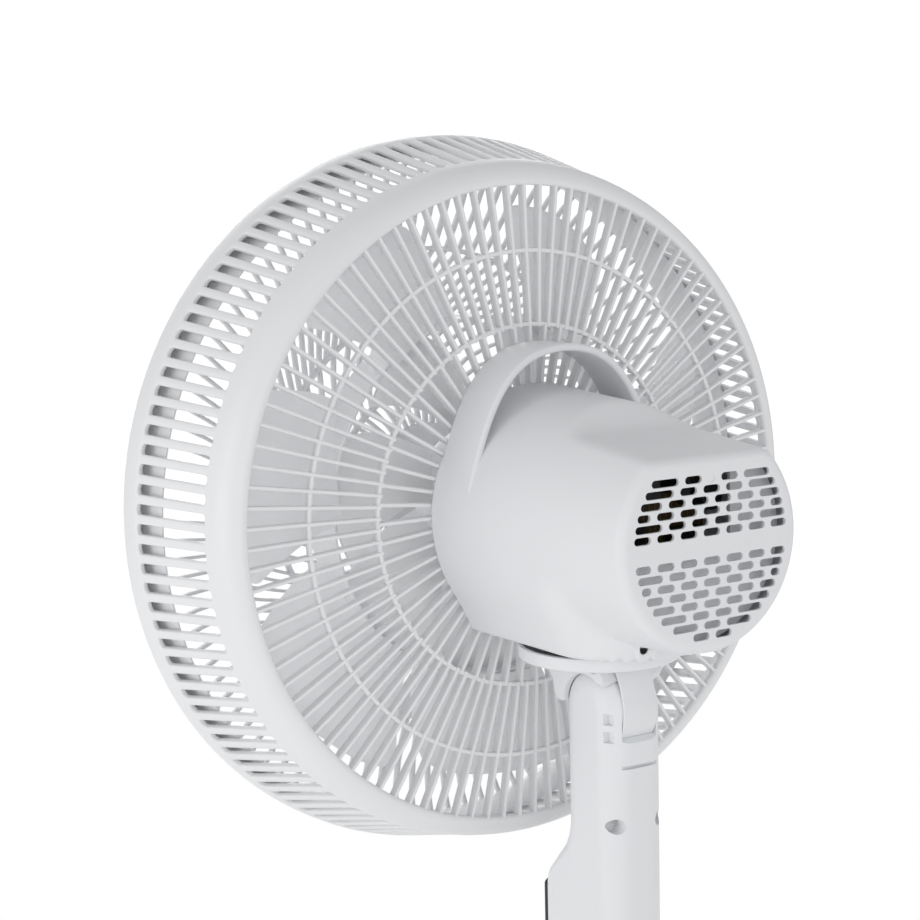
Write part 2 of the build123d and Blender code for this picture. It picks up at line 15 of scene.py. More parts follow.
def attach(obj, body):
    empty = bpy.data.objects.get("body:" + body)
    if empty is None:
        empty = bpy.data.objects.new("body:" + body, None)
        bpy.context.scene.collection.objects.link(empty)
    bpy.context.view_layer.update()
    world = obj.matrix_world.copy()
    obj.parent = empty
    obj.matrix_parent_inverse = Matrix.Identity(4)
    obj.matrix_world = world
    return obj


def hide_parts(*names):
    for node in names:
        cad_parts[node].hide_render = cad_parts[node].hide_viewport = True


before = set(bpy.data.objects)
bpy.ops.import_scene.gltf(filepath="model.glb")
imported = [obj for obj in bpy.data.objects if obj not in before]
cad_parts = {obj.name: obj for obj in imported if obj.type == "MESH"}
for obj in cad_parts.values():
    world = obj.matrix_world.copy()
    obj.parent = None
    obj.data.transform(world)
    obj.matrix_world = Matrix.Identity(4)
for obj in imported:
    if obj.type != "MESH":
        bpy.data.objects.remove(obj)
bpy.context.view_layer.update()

MM = 0.001
CREST = np.array([0.0, -76.0, 1050.0])


def place(points):
    """Head-frame millimetres to row-frame millimetres."""
    return np.asarray(points, float) + CREST


# ---------------------------------------------------------------- camera, light and stage
def add_camera():
    data = bpy.data.cameras.new("camera")
    data.sensor_width = 36.0
    data.lens = 78.2
    data.clip_end = 100.0
    camera = bpy.data.objects.new("camera", data)
    right = (-0.8316, 0.5549, -0.0224)
    up = (-0.0915, -0.0972, 0.9911)
    back = (0.5477, 0.8262, 0.1316)
    spot = (0.6734, 0.8657, 1.2310)
    camera.matrix_world = Matrix([[right[k], up[k], back[k], spot[k]] for k in range(3)] + [[0, 0, 0, 1]])
    bpy.context.scene.collection.objects.link(camera)
    bpy.context.scene.camera = camera


def add_area(name, spot, target, size, power):
    data = bpy.data.lights.new(name, "AREA")
    data.shape = "DISK"
    data.size = size
    data.energy = power
    light = bpy.data.objects.new(name, data)
    light.location = spot
    aim = Matrix.Translation(spot).to_translation() - Matrix.Translation(target).to_translation()
    light.rotation_mode = "QUATERNION"
    light.rotation_quaternion = aim.to_track_quat("Z", "Y")
    bpy.context.scene.collection.objects.link(light)


def add_world(ambient, overhead):
    world = bpy.data.worlds.new("studio")
    world.use_nodes = True
    tree = world.node_tree
    tree.nodes.clear()
    out = tree.nodes.new("ShaderNodeOutputWorld")
    mix = tree.nodes.new("ShaderNodeMixShader")
    path = tree.nodes.new("ShaderNodeLightPath")
    room = tree.nodes.new("ShaderNodeBackground")
    seen = tree.nodes.new("ShaderNodeBackground")
    room.inputs["Color"].default_value = (0.985, 0.99, 1.0, 1.0)
    coords = tree.nodes.new("ShaderNodeTexCoord")
    split = tree.nodes.new("ShaderNodeSeparateXYZ")
    fade = tree.nodes.new("ShaderNodeMapRange")
    fade.inputs["From Min"].default_value = 0.0
    fade.inputs["From Max"].default_value = 0.9
    fade.inputs["To Min"].default_value = ambient
    fade.inputs["To Max"].default_value = overhead
    tree.links.new(coords.outputs["Generated"], split.inputs["Vector"])
    tree.links.new(split.outputs["Z"], fade.inputs["Value"])
    tree.links.new(fade.outputs["Result"], room.inputs["Strength"])
    seen.inputs["Color"].default_value = (1.0, 1.0, 1.0, 1.0)
    seen.inputs["Strength"].default_value = 1.05
    tree.links.new(path.outputs["Is Camera Ray"], mix.inputs["Fac"])
    tree.links.new(room.outputs["Background"], mix.inputs[1])
    tree.links.new(seen.outputs["Background"], mix.inputs[2])
    tree.links.new(mix.outputs["Shader"], out.inputs["Surface"])
    bpy.context.scene.world = world


bpy.context.scene.view_settings.view_transform = "Standard"
add_camera()
add_world(0.67, 0.57)
add_area("key", (2.7, -0.5, 1.25), (0.0, 0.0, 1.0), 1.8, 14.0)
add_area("fill", (1.2, 2.8, 1.3), (0.0, 0.0, 1.0), 2.2, 16.0)
add_area("front", (-1.0, -2.8, 1.6), (0.0, 0.0, 0.9), 2.4, 36.0)


# ---------------------------------------------------------------- materials
class Paint:
    """A node material built up from a Principled shader."""

    def __init__(self, name, color, rough, metal=0.0, **sockets):
        self.material = bpy.data.materials.new(name)
        self.material.use_nodes = True
        self.tree = self.material.node_tree
        self.shader = self.tree.nodes["Principled BSDF"]
        self.color = color
        self.rough = rough
        self.shader.inputs["Metallic"].default_value = metal
        for socket, value in sockets.items():
            self.shader.inputs[socket.replace("_", " ")].default_value = value
        self.coords = self.tree.nodes.new("ShaderNodeTexCoord").outputs["Object"]

    def noise(self, scale, detail=3.0, stretch=None):
        coords = self.coords
        if stretch:
            mapping = self.tree.nodes.new("ShaderNodeMapping")
            mapping.inputs["Scale"].default_value = stretch
            self.tree.links.new(coords, mapping.inputs["Vector"])
            coords = mapping.outputs["Vector"]
        node = self.tree.nodes.new("ShaderNodeTexNoise")
        node.inputs["Scale"].default_value = scale
        node.inputs["Detail"].default_value = detail
        self.tree.links.new(coords, node.inputs["Vector"])
        return node.outputs["Fac"]

    def spread(self, value, low, high):
        node = self.tree.nodes.new("ShaderNodeMapRange")
        node.inputs["From Min"].default_value = 0.3
        node.inputs["From Max"].default_value = 0.7
        node.inputs["To Min"].default_value = low
        node.inputs["To Max"].default_value = high
        self.tree.links.new(value, node.inputs["Value"])
        return node.outputs["Result"]

    def mottle(self, value, amount):
        mix = self.tree.nodes.new("ShaderNodeMix")
        mix.data_type = "RGBA"
        dark = [c * (1 - amount) for c in self.color]
        light = [min(1.0, c * (1 + amount)) for c in self.color]
        mix.inputs["A"].default_value = (*dark, 1.0)
        mix.inputs["B"].default_value = (*light, 1.0)
        self.tree.links.new(value, mix.inputs["Factor"])
        self.tree.links.new(mix.outputs["Result"], self.shader.inputs["Base Color"])

    def bump(self, value, strength, distance):
        node = self.tree.nodes.new("ShaderNodeBump")
        node.inputs["Strength"].default_value = strength
        node.inputs["Distance"].default_value = distance
        self.tree.links.new(value, node.inputs["Height"])
        self.tree.links.new(node.outputs["Normal"], self.shader.inputs["Normal"])

    def roughen(self, value, amount):
        result = self.spread(value, self.rough - amount, self.rough + amount)
        self.tree.links.new(result, self.shader.inputs["Roughness"])


def plastic(name, color, rough, grain=1400.0, depth=0.00005, mottle=0.012, **sockets):
    """Moulded plastic: fine spark-eroded grain, faint flow marks and uneven gloss."""
    paint = Paint(name, color, rough, **sockets)
    paint.mottle(paint.noise(14.0, 2.0), mottle)
    paint.roughen(paint.noise(60.0, 3.0), 0.05)
    paint.bump(paint.noise(grain, 4.0), 0.35, depth)
    return paint.material


def metal(name, color, rough, stretch=(1.0, 1.0, 14.0), mottle=0.06, depth=0.00002):
    """Turned or rolled metal: streaks along one direction."""
    paint = Paint(name, color, rough, metal=1.0)
    streaks = paint.noise(260.0, 3.0, stretch)
    paint.mottle(streaks, mottle)
    paint.roughen(streaks, 0.08)
    paint.bump(streaks, 0.3, depth)
    return paint.material


def wound_copper():
    paint = Paint("wound_copper", (0.62, 0.27, 0.11), 0.32, metal=0.9)
    wave = paint.tree.nodes.new("ShaderNodeTexWave")
    wave.inputs["Scale"].default_value = 420.0
    wave.inputs["Distortion"].default_value = 1.5
    paint.tree.links.new(paint.coords, wave.inputs["Vector"])
    paint.mottle(wave.outputs["Fac"], 0.35)
    paint.bump(wave.outputs["Fac"], 0.6, 0.0003)
    paint.roughen(paint.noise(80.0), 0.06)
    return paint.material


def circuit_board():
    """Brown paper board with fine tracks on it."""
    paint = Paint("circuit_board", (0.10, 0.075, 0.03), 0.35)
    cells = paint.tree.nodes.new("ShaderNodeTexBrick")
    cells.inputs["Scale"].default_value = 130.0
    cells.inputs["Color1"].default_value = (0.07, 0.05, 0.02, 1.0)
    cells.inputs["Color2"].default_value = (0.10, 0.07, 0.03, 1.0)
    cells.inputs["Mortar"].default_value = (0.20, 0.15, 0.07, 1.0)
    cells.inputs["Mortar Size"].default_value = 0.03
    paint.tree.links.new(paint.coords, cells.inputs["Vector"])
    paint.tree.links.new(cells.outputs["Color"], paint.shader.inputs["Base Color"])
    paint.bump(cells.outputs["Fac"], 0.3, 0.0001)
    paint.roughen(paint.noise(90.0), 0.07)
    return paint.material


MATERIALS = {
    "shell_white": plastic("shell_white", (0.775, 0.785, 0.80), 0.46),
    "guard_white": plastic("guard_white", (0.80, 0.805, 0.815), 0.42, grain=1800.0),
    "blade_white": plastic("blade_white", (0.93, 0.935, 0.945), 0.34, grain=2200.0, depth=0.00002),
    "panel_black": plastic("panel_black", (0.004, 0.004, 0.005), 0.16, grain=500.0, depth=0.000005,
                           Specular_IOR_Level=0.25),
    "pole_paint": plastic("pole_paint", (0.78, 0.785, 0.80), 0.30, grain=900.0, depth=0.00004),
    "steel": metal("steel", (0.56, 0.56, 0.55), 0.32),
    "motor_shell": metal("motor_shell", (0.60, 0.61, 0.62), 0.40, stretch=(1.0, 8.0, 1.0)),
    "core_steel": metal("core_steel", (0.20, 0.20, 0.21), 0.45, stretch=(1.0, 30.0, 1.0), mottle=0.3),
    "copper": wound_copper(),
    "board_green": circuit_board(),
    "dark_parts": plastic("dark_parts", (0.018, 0.018, 0.02), 0.40, grain=700.0, mottle=0.3),
    "nylon": plastic("nylon", (0.66, 0.65, 0.60), 0.50, grain=900.0, mottle=0.03),
    "rubber": plastic("rubber", (0.035, 0.035, 0.036), 0.75, grain=500.0, depth=0.0001, mottle=0.15),
}

NODE_SLOTS = {
    "shell_white": ["neck_front_shell", "neck_rear_shell", "tilt_arm", "tilt_strip", "height_collar",
                    "height_knob", "base_cover", "motor_cover"],
    "guard_white": ["rear_guard", "front_guard", "guard_badge", "guard_nut"],
    "blade_white": ["fan_blade", "blade_nut"],
    "panel_black": ["panel_lens"],
    "pole_paint": ["outer_pole", "inner_pole"],
    "steel": ["base_screws", "knob_screw", "neck_screws", "pole_clamp_screws", "tilt_bolt", "tilt_nut",
              "tilt_washers", "swing_post", "link_pin", "swing_link", "cover_screws", "guard_screw",
              "motor_shaft", "drive_pin", "swing_axle", "motor_bearings", "swing_motor"],
    "motor_shell": ["motor_front_bell", "motor_rear_bell", "head_bracket"],
    "core_steel": ["stator_core", "motor_rotor", "base_weight"],
    "copper": ["stator_windings"],
    "board_green": ["control_board", "motor_board"],
    "dark_parts": ["board_parts"],
    "nylon": ["pole_liner", "pole_plug", "swing_bush", "swing_crank", "board_posts", "base_socket"],
    "rubber": ["base_feet"],
}
for slot_name, node_names in NODE_SLOTS.items():
    for node_name in node_names:
        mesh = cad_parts[node_name].data
        mesh.materials.clear()
        mesh.materials.append(MATERIALS[slot_name])


# ---------------------------------------------------------------- mesh helpers
class Build:
    """Collects closed bodies, in row-frame millimetres, for one mesh."""

    def __init__(self):
        self.verts = []
        self.faces = []
        self.count = 0

    def add(self, verts, faces):
        verts = np.asarray(verts, float).reshape(-1, 3)
        self.verts.append(verts)
        self.faces += [tuple(i + self.count for i in f) for f in faces]
        self.count += len(verts)

    def loft(self, rings, closed=False, caps=True):
        """Rings of equal length joined one to the next; closed joins the last to the first."""
        rings = np.asarray(rings, float)
        n, m = rings.shape[:2]
        faces = []
        for i in range(n if closed else n - 1):
            j = (i + 1) % n
            for k in range(m):
                q = (k + 1) % m
                faces.append((i * m + k, i * m + q, j * m + q, j * m + k))
        if caps and not closed:
            faces.append(tuple(range(m - 1, -1, -1)))
            faces.append(tuple((n - 1) * m + k for k in range(m)))
        self.add(rings, faces)

    def piece(self, name, material, body, replaces=(), sharp=38.0, merge=0.0):
        mesh = bpy.data.meshes.new(name)
        mesh.from_pydata((np.concatenate(self.verts) * MM).tolist(), [], self.faces)
        bm = bmesh.new()
        bm.from_mesh(mesh)
        if merge:
            bmesh.ops.remove_doubles(bm, verts=bm.verts, dist=merge * MM)
        bmesh.ops.recalc_face_normals(bm, faces=bm.faces)
        bm.to_mesh(mesh)
        bm.free()
        mesh.materials.append(MATERIALS[material])
        thing = bpy.data.objects.new(name, mesh)
        bpy.context.scene.collection.objects.link(thing)
        smooth(thing, sharp)
        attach(thing, body)
        if replaces:
            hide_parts(*replaces)
        return thing


def smooth(thing, sharp):
    """Smooth shading, with edges over the sharp angle left hard."""
    bm = bmesh.new()
    bm.from_mesh(thing.data)
    for face in bm.faces:
        face.smooth = True
    for edge in bm.edges:
        two = len(edge.link_faces) == 2
        edge.smooth = two and edge.calc_face_angle(0.0) < radians(sharp)
    bm.to_mesh(thing.data)
    bm.free()


def cut(thing, cutter, sharp=38.0):
    """Takes the cutter's mesh out of thing and drops the cutter."""
    modifier = thing.modifiers.new("cut", "BOOLEAN")
    modifier.operation = "DIFFERENCE"
    modifier.solver = "EXACT"
    modifier.object = cutter
    graph = bpy.context.evaluated_depsgraph_get()
    mesh = bpy.data.meshes.new_from_object(thing.evaluated_get(graph))
    thing.modifiers.clear()
    thing.data = mesh
    bpy.data.objects.remove(cutter)
    smooth(thing, sharp)


def rounded(width, depth, radius, steps=2):
    """Outline of a rounded rectangle, (u, v) pairs."""
    points = []
    for k, (sx, sy) in enumerate(((1, 1), (-1, 1), (-1, -1), (1, -1))):
        for n in range(steps + 1):
            a = (k + n / steps) * pi / 2
            points.append((sx * (width / 2 - radius) + radius * cos(a),
                           sy * (depth / 2 - radius) + radius * sin(a)))
    return np.array(points)


def at_angle(radius, angle, back):
    """Head-frame point at an angle from the top, turning towards +X."""
    return np.array([radius * sin(angle), back, radius * cos(angle)])


def rib(build, path, outline):
    """A bar along path, with the outline's u across it and v along the fan's axis."""
    path = np.asarray(path, float)
    axis = np.array([0.0, 1.0, 0.0])
    rings = []
    for k, point in enumerate(path):
        step = path[min(k + 1, len(path) - 1)] - path[max(k - 1, 0)]
        side = np.cross(step / np.linalg.norm(step), axis)
        side /= np.linalg.norm(side)
        rings.append([point + u * side + v * axis for u, v in outline])
    build.loft(place(rings))


def lathe(build, profile, count):
    """Closed (radius, back) profile turned about the fan's axis."""
    rings = []
    for k in range(count):
        a = 2 * pi * k / count
        rings.append([at_angle(r, a, b) for r, b in profile])
    build.loft(place(rings), closed=True)


def hoop(build, radius, back, width, depth, count=180, corner=0.7):
    """A round rail of rounded section, its middle at radius and back."""
    outline = rounded(width, depth, corner)
    lathe(build, [(radius + u, back + v) for u, v in outline], count)


def slot_prism(build, x, up, length, high, back0, back1):
    """A rounded slot's cutter through the rear face."""
    half = (length - high) / 2
    outline = []
    for k in range(14):
        a = -pi / 2 + pi * k / 13
        outline.append((x + half + high / 2 * cos(a), up + high / 2 * sin(a)))
    for k in range(14):
        a = pi / 2 + pi * k / 13
        outline.append((x - half + high / 2 * cos(a), up + high / 2 * sin(a)))
    build.loft(place([[(u, b, v) for u, v in outline] for b in (back0, back1)]))


# ---------------------------------------------------------------- rear guard
# rear and front ends of the side slots, outside of the wall: radius and back
BAND_R, BAND_B = 201.4, -21.3
SLOT_R, SLOT_B = 216.0, -76.2
RINGS = ((106.0, 3.4), (148.5, 1.0))


def rear_height(radius):
    """Back face of the rear grille."""
    return float(np.interp(radius, [106.0, 148.5, 190.0], [3.4, 1.0, -0.4]))


def side_wall(build, slots=120, wall=3.4, share=0.52):
    """Tapered wall with a round-ended slot in each cell; the loops run from outside to inside."""
    pitch = 2 * pi / slots
    run = np.array([SLOT_R - BAND_R, SLOT_B - BAND_B])
    length = np.linalg.norm(run)
    run /= length
    out = np.array([-run[1], run[0]])
    middle_r = (BAND_R + SLOT_R) / 2
    half_w = pitch * middle_r * share / 2
    end = 0.6 * half_w
    half_s = length / 2 - end
    margin = 1.6

    def outline(grow):
        loop = []
        for n in range(7):
            loop.append((half_w + grow, -half_s + 2 * half_s * n / 6))
        for n in range(1, 8):
            a = pi * n / 8
            loop.append(((half_w + grow) * cos(a), half_s + (end + grow) * sin(a)))
        for n in range(7):
            loop.append((-half_w - grow, half_s - 2 * half_s * n / 6))
        for n in range(1, 8):
            a = pi + pi * n / 8
            loop.append(((half_w + grow) * cos(a), -half_s + (end + grow) * sin(a)))
        return loop

    edge = pitch * middle_r / 2
    top = length / 2 + margin
    border = [(edge, -half_s + 2 * half_s * n / 6) for n in range(7)]
    border += [(edge, (half_s + top) / 2), (edge, top), (edge / 2, top), (0, top), (-edge / 2, top),
               (-edge, top), (-edge, (half_s + top) / 2)]
    border += [(-edge, half_s - 2 * half_s * n / 6) for n in range(7)]
    border += [(-edge, -(half_s + top) / 2), (-edge, -top), (-edge / 2, -top), (0, -top), (edge / 2, -top),
               (edge, -top), (edge, -(half_s + top) / 2)]
    loops = [(border, 0.0), (outline(0.9), 0.0), (outline(0.25), -0.25), (outline(0.0), -0.9),
             (outline(0.0), 0.9 - wall), (outline(0.25), 0.25 - wall), (outline(0.9), -wall), (border, -wall)]
    for cell in range(slots):
        rings = []
        for loop, depth in loops:
            ring = []
            for across, along in loop:
                angle = cell * pitch + across / middle_r
                r, b = np.array([middle_r, (BAND_B + SLOT_B) / 2]) + along * run + depth * out
                ring.append(at_angle(r, angle, b))
            rings.append(ring)
        build.loft(place(rings), caps=False)
    count = slots * 4
    start = np.array([middle_r, (BAND_B + SLOT_B) / 2]) - top * run
    stop = np.array([middle_r, (BAND_B + SLOT_B) / 2]) + top * run
    inner_start, inner_stop = start - wall * out, stop - wall * out
    crest = [tuple(start), (200.2, -15.0), (198.6, -9.6), (196.4, -5.2), (193.6, -2.0), (190.6, -0.1),
             (188.4, 0.5), (186.6, 0.1), (185.8, -1.2), (185.8, -4.6), (187.0, -6.4), (190.0, -7.6),
             (193.2, -10.4), (195.6, -14.6), tuple(inner_start)]
    rim = [tuple(stop), (217.0, -80.5), (217.3, -88.6), (217.0, -91.2), (216.0, -91.7), (214.6, -91.4),
           (214.0, -90.0), (213.9, -84.0), tuple(inner_stop)]
    for profile in (crest, rim):
        rings = [[at_angle(r, 2 * pi * (k - 0.0) / count, b) for r, b in profile] for k in range(count)]
        rings = np.asarray(rings)
        m = len(profile)
        faces = [(i * m + k, i * m + k + 1, ((i + 1) % count) * m + k + 1, ((i + 1) % count) * m + k)
                 for i in range(count) for k in range(m - 1)]
        build.add(place(rings), faces)


OUTER_STEPS = (104.6, 116, 127, 138, 148.5, 162, 176, 188.0)
INNER_STEPS = (45, 60, 76, 91, 106.5)


def make_rear_guard():
    wall = Build()
    side_wall(wall)
    wall.piece("rear_guard_wall", "guard_white", "head", sharp=50.0, merge=0.02)
    grille = Build()
    outline = rounded(2.1, 6.2, 0.8)
    for k in range(102):
        a = 2 * pi * k / 102
        rib(grille, [at_angle(r, a, rear_height(r) - 3.1) for r in OUTER_STEPS], outline)
    inner = rounded(2.2, 6.4, 0.8)
    for k in range(60):
        a = 2 * pi * k / 60
        rib(grille, [at_angle(r, a, rear_height(r) - 3.2) for r in INNER_STEPS], inner)
    for radius, back in RINGS:
        hoop(grille, radius, back - 2.7, 2.6, 4.0, 240, 0.9)
    lathe(grille, [(22.1, -3.2), (22.1, 3.2), (47.0, 3.2), (48.4, 2.0), (48.4, -2.0), (47.0, -3.2)], 96)
    grille.piece("rear_grille", "guard_white", "head", replaces=["rear_guard"])


# ---------------------------------------------------------------- front guard
def front_height(radius):
    """Outer face of the front grille: a shallow dome."""
    return float(np.interp(radius, [38, 60, 100, 150, 185, 200, 209, 214, 217],
                           [-119.2, -119.2, -118.2, -115.4, -111.2, -107.6, -103.6, -99.6, -95.5]))


def swirl(radius):
    """Turn of the front ribs, clockwise from behind towards the rim."""
    return radians(float(np.interp(radius, [40, 62, 80, 100, 125, 148, 170, 190, 214],
                                   [4, 0, 7, 18, 29, 36, 38, 38.5, 39])))


def make_front_guard():
    build = Build()
    outline = rounded(2.1, 5.0, 0.8)
    outer_steps = (108, 120, 134, 148.5, 162, 176, 190, 200, 207, 211.5)
    inner_steps = (38, 46, 54, 62, 72, 84, 96, 108.5)
    for k in range(100):
        a = 2 * pi * k / 100
        rib(build, [at_angle(r, a - swirl(r), front_height(r) + 2.5) for r in outer_steps], outline)
    for k in range(50):
        a = 2 * pi * k / 50
        rib(build, [at_angle(r, a - swirl(r), front_height(r) + 2.5) for r in inner_steps], outline)
    for radius in (62, 108, 148.5):
        hoop(build, radius, front_height(radius) + 2.6, 2.8, 5.6, 200, 0.9)
    rim = [(214.9, -92.2), (214.9, -95.4), (213.8, -98.4), (211.4, -100.6), (209.4, -100.4), (207.4, -97.0)]
    lip = [(206.3, -90.0), (205.6, -64.0), (206.2, -62.2), (207.2, -62.0), (207.8, -63.6), (208.6, -88.0)]
    lathe(build, rim + lip + [(211.0, -91.8)], 360)
    build.piece("front_grille", "guard_white", "head", replaces=["front_guard"])
    badge = Build()
    lathe(badge, [(0.01, -119.4), (20, -119.3), (33, -118.9), (36.4, -118.0), (38.6, -116.6), (39.2, -114.6),
                  (38.8, -113.4), (0.01, -113.4)], 120)
    badge.piece("front_badge", "shell_white", "head", replaces=["guard_badge"])


# ---------------------------------------------------------------- impeller
BLADES, BLADE_TURN = 7, 30.7
BLADE_BACK = -50.0         # the blades' middle plane


def blade_rings(angle, radii, tip):
    """Rounded twisted blade as rings across the chord at successive radii; tip rounds its end."""
    rings = []
    for radius in radii:
        reach = float(np.interp(radius, [38, 60, 80, 107, 127, 165, 176], [15, 19, 26, 34.5, 40.5, 52, 53]))
        pitch = radians(float(np.interp(radius, [38, 110, 176], [38, 27, 19])))
        lead = [-15, -12, -6, 6, -9, -7, 0, 3]
        sweep = radians(float(np.interp(radius, [38, 60, 80, 108, 109, 127, 165, 176], lead)))
        if tip and radius > 166:
            reach *= 0.45 + 0.55 * float(np.sqrt(max(0.0, 1 - ((radius - 166) / 10.02) ** 2)))
        front, rear = [], []
        for v in np.linspace(-1.0, 1.0, 17):
            across = v * reach
            thick = 1.25 * float(np.sqrt(max(0.02, 1 - abs(v) ** 6)))
            camber = 5.0 * (1 - v * v) * reach / 52
            depth = BLADE_BACK + across * tan(pitch) + camber
            theta = angle + sweep + across / radius
            front.append(at_angle(radius, theta, depth - thick))
            rear.append(at_angle(radius, theta, depth + thick))
        rings.append(front + rear[::-1])
    return rings


def make_impeller():
    blades = Build()
    for k in range(BLADES):
        angle = radians(BLADE_TURN) + 2 * pi * k / BLADES
        blades.loft(place(blade_rings(angle, np.linspace(37, 108, 14), False)))
        outer = np.concatenate([np.linspace(109.2, 166, 12), 166 + 10 * np.sin(np.linspace(0.15, pi / 2, 8))])
        blades.loft(place(blade_rings(angle, outer, True)))
    lathe(blades, [(107.5, -42.6), (108.2, -42.0), (109.2, -42.0), (109.8, -42.6),
                   (109.8, -70.4), (109.2, -71.0), (108.2, -71.0), (107.5, -70.4)], 240)
    lathe(blades, [(9, -67), (34, -67), (38.5, -65.6), (40.6, -62.5), (41, -58), (41, -25), (40.2, -23.6),
                   (38.4, -23.6), (37.8, -25), (37.8, -58), (36, -63), (14, -63.2), (9, -61)], 120)
    lathe(blades, [(4.1, -66.5), (9.4, -66.5), (9.4, -28), (8.6, -27), (4.1, -27)], 48)
    web = rounded(1.8, 32, 0.7)
    for k in range(7):
        a = 2 * pi * (k + 0.5) / 7
        rib(blades, [at_angle(r, a, -46) for r in (8.8, 20, 30, 38.2)], web)
    blades.piece("impeller", "blade_white", "rotor", replaces=["fan_blade"])


# ---------------------------------------------------------------- motor cover
COVER_WALL = 1.7
REAR_B = 161.0


def body_radius(back):
    return np.interp(back, [4, 18, 41, 60, 75, 96, 120, 140, 153, 161],
                     [72.0, 71.2, 69.6, 68.4, 67.4, 66.0, 64.0, 62.1, 60.8, 59.8])


def roof_height(back):
    knots = [(4, 90), (61, 90), (73, 77), (79, 70.5), (83, 64.5), (87, 59.2),
             (91, 55.4), (96, 53.0), (103, 51.6), (113, 50.4), (161, 44.6)]
    xs, zs = zip(*knots)
    return np.mean([np.interp(back + s, xs, zs) for s in (-3.0, -1.5, 0.0, 1.5, 3.0)], axis=0)


def soft_least(a, b, width):
    h = np.clip(0.5 + (b - a) / (2 * width), 0, 1)
    return b * (1 - h) + a * h - width * h * (1 - h)


def cover_outline(angles, back):
    """Radius of the cover's outside at each angle from +X towards the top."""
    c, s = np.cos(angles), np.sin(angles)
    r = np.full_like(angles, body_radius(back))
    roof = np.where(s > 0.25, roof_height(back) / np.maximum(s, 0.25), 300.0)
    r = soft_least(r, roof, 4.0)
    narrow = float(np.sqrt(max(0.0, 1 - (max(0.0, back - 88.0) / 42.0) ** 2)))
    flat = np.where(s < -0.3, 68.2 / np.maximum(-s, 0.3), 300.0)
    lean = np.abs(c) - 0.526 * narrow * s
    side = 80.9 * narrow / np.maximum(lean, 0.05)
    skirt = -soft_least(-r, -soft_least(flat, side, 3.0), 3.5)
    share = np.clip((-s - 0.26) / 0.30, 0, 1)
    return r + (skirt - r) * share * share * (3 - 2 * share)


def cover_rings(inset, stations, count=400):
    angles = 2 * pi * np.arange(count) / count
    rings = []
    for back, pull in stations:
        r = cover_outline(angles, back) - inset - pull
        depth = np.full(count, min(back, REAR_B - inset))
        rings.append(np.stack([r * np.cos(angles), depth, r * np.sin(angles)], 1))
    return rings


def cover_stations(inset):
    front = (4.2, 5.4, 8, 13, 20, 30, 42, 54, 64, 71, 76)
    scoop = (80, 83, 86, 89, 92, 95, 98, 101, 104, 107)
    rear = (111, 116, 121, 125, 128, 130, 132, 135, 140, 146, 151, 155)
    straight = [(b, 0.0) for b in front + scoop + rear]
    edge = 5.0
    bend = [(REAR_B - edge + edge * sin(a), edge * (1 - cos(a))) for a in np.linspace(0.0, pi / 2, 8)]
    stations = straight + bend
    return [(min(b, REAR_B - inset), p) for b, p in stations]


VENT_R = 51.7              # the vents end on this circle
VENT_PITCH, VENT_RISE = 15.45, 5.66
VENT_LONG, VENT_SHORTEST = 11.2, 6.0
VENT_TOP, VENT_LOW = 33.0, -10.4
SLOT_HIGH = 4.15
MARK_CLEAR = 6.6


HANDLE_CURVE = ((68.4, 18.3), (54.9, 68.6), (38.5, 96.4), (0.0, 96.4))


def vent_row(up, start):
    """(from, to) of a row's slots, the same on both sides of its first gap; the last reach the circle."""
    reach = float(np.sqrt(VENT_R ** 2 - up ** 2))
    slots = []
    while start < reach:
        following = start + VENT_PITCH
        last = reach - following < VENT_SHORTEST
        slots.append((start, reach if last else start + VENT_LONG))
        start = reach if last else following
    return slots + [(-x1, -x0) for x0, x1 in slots]


def vent_rows():
    """(up, slots) of every row: bricks, with the top row spread about the round mark."""
    gap = VENT_PITCH - VENT_LONG
    heights = [VENT_TOP - VENT_RISE * k for k in range(6)] + [VENT_LOW - VENT_RISE * k for k in range(8)]
    rows = []
    for k, up in enumerate(heights):
        if k == 0:
            rows.append((up, vent_row(up, MARK_CLEAR)))
        elif k % 2 == (1 if k < 6 else 0):
            rows.append((up, vent_row(up, VENT_PITCH - VENT_LONG / 2) + [(-VENT_LONG / 2, VENT_LONG / 2)]))
        else:
            rows.append((up, vent_row(up, gap / 2)))
    return rows


